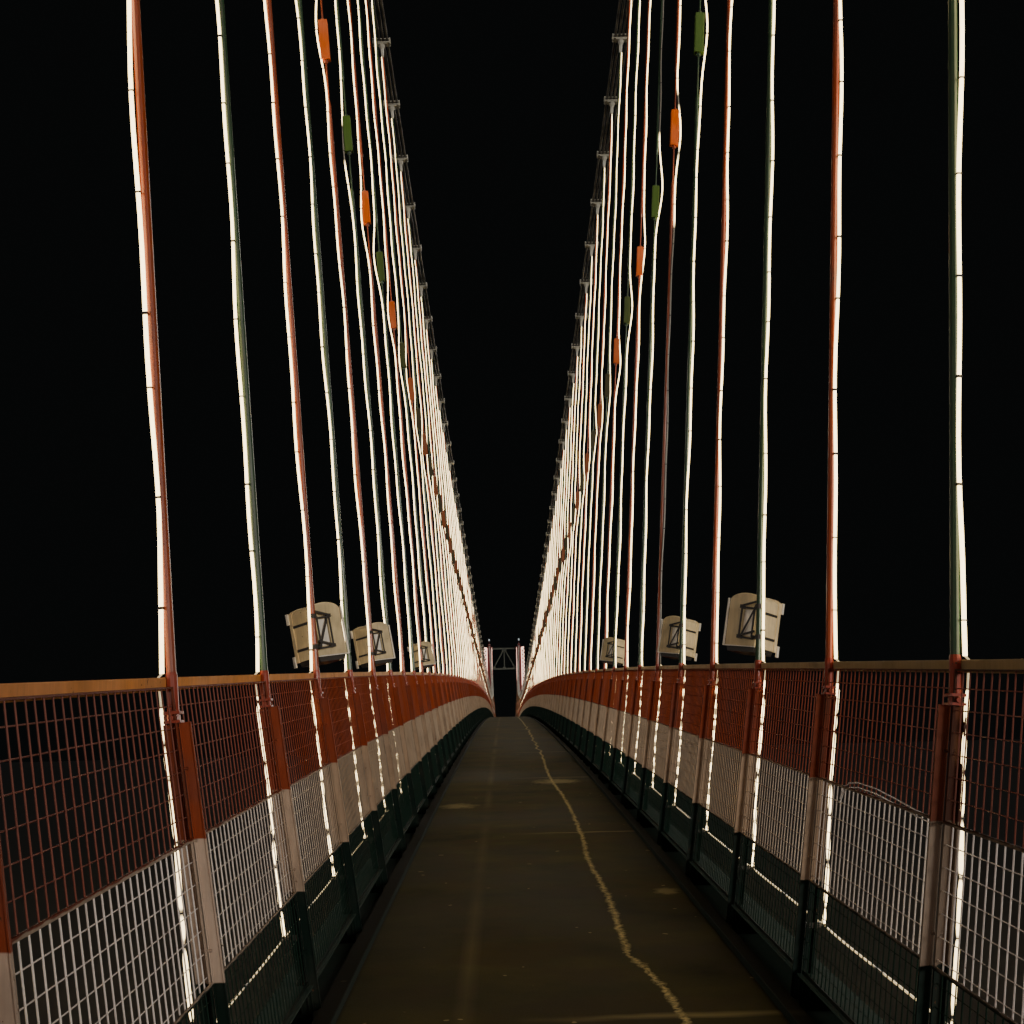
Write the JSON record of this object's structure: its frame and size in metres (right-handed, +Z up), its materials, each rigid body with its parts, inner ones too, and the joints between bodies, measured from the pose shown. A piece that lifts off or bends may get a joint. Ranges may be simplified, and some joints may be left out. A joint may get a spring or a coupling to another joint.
{
  "type": "suspension footbridge, 1:10 scale model",
  "caption": "Narrow suspension footbridge at 1:10: portal towers on piers, sagging rope bundles, leaning hanger rods, arched walkway with mesh side screens.",
  "frame": {"origin": "on the ground, in the middle of the span and of the bridge's width", "axes": "+Y along the bridge, +X to the right, +Z up"},
  "size_m": [0.7726, 32.432, 2.503],
  "materials": {
    "walkway": "worn asphalt on a thin slab, with patched cross joints",
    "floor_steel": "painted floor plate and cross beams, dull",
    "green_paint": "dark green enamel, brushed on, worn at the edges",
    "saffron_paint": "saffron orange enamel, brushed on",
    "white_paint": "white enamel, a little yellowed",
    "banded_paint": "enamel in three bands, saffron over white over dark green",
    "wire_rope": "greased galvanised wire rope",
    "tower_paint": "maroon enamel",
    "concrete": "cast concrete with board marks and streaks",
    "cream_sheet": "cream painted sheet metal",
    "dark_fittings": "dark straps, ties and bolts",
    "light_strip": "warm white light strip in a clear sleeve"
  },
  "bodies": {
    "root": {"walkway_slab_near": "walkway", "walkway_slab_middle": "walkway", "walkway_slab_far": "walkway", "floor_frame_near": "floor_steel", "floor_frame_middle": "floor_steel", "floor_frame_far": "floor_steel", "side_frame_left_near": "banded_paint", "side_frame_left_middle": "banded_paint", "side_frame_left_far": "banded_paint", "side_frame_right_near": "banded_paint", "side_frame_right_middle": "banded_paint", "side_frame_right_far": "banded_paint", "hanger_rods_left_near": "saffron_paint", "hanger_rods_left_middle": "saffron_paint", "hanger_rods_left_far": "saffron_paint", "hanger_rods_right_near": "saffron_paint", "hanger_rods_right_middle": "saffron_paint", "hanger_rods_right_far": "saffron_paint", "main_ropes_left": "wire_rope", "main_ropes_right": "wire_rope", "backstay_near_left": "wire_rope", "backstay_near_right": "wire_rope", "backstay_far_left": "wire_rope", "backstay_far_right": "wire_rope", "anchor_block_near_left": "concrete", "anchor_block_near_right": "concrete", "anchor_block_far_left": "concrete", "anchor_block_far_right": "concrete", "pier_near": "concrete", "pier_far": "concrete", "tower_leg_near_left": "tower_paint", "tower_leg_near_right": "tower_paint", "tower_leg_far_left": "tower_paint", "tower_leg_far_right": "tower_paint", "top_truss_near": "tower_paint", "top_truss_far": "tower_paint", "saddle_near_left": "tower_paint", "saddle_near_right": "tower_paint", "saddle_far_left": "tower_paint", "saddle_far_right": "tower_paint", "lamp_housing_left_3": "cream_sheet", "lamp_housing_left_5": "cream_sheet", "lamp_housing_left_9": "cream_sheet", "lamp_housing_right_3": "cream_sheet", "lamp_housing_right_5": "cream_sheet", "lamp_housing_right_9": "cream_sheet"}
  },
  "joints": []
}
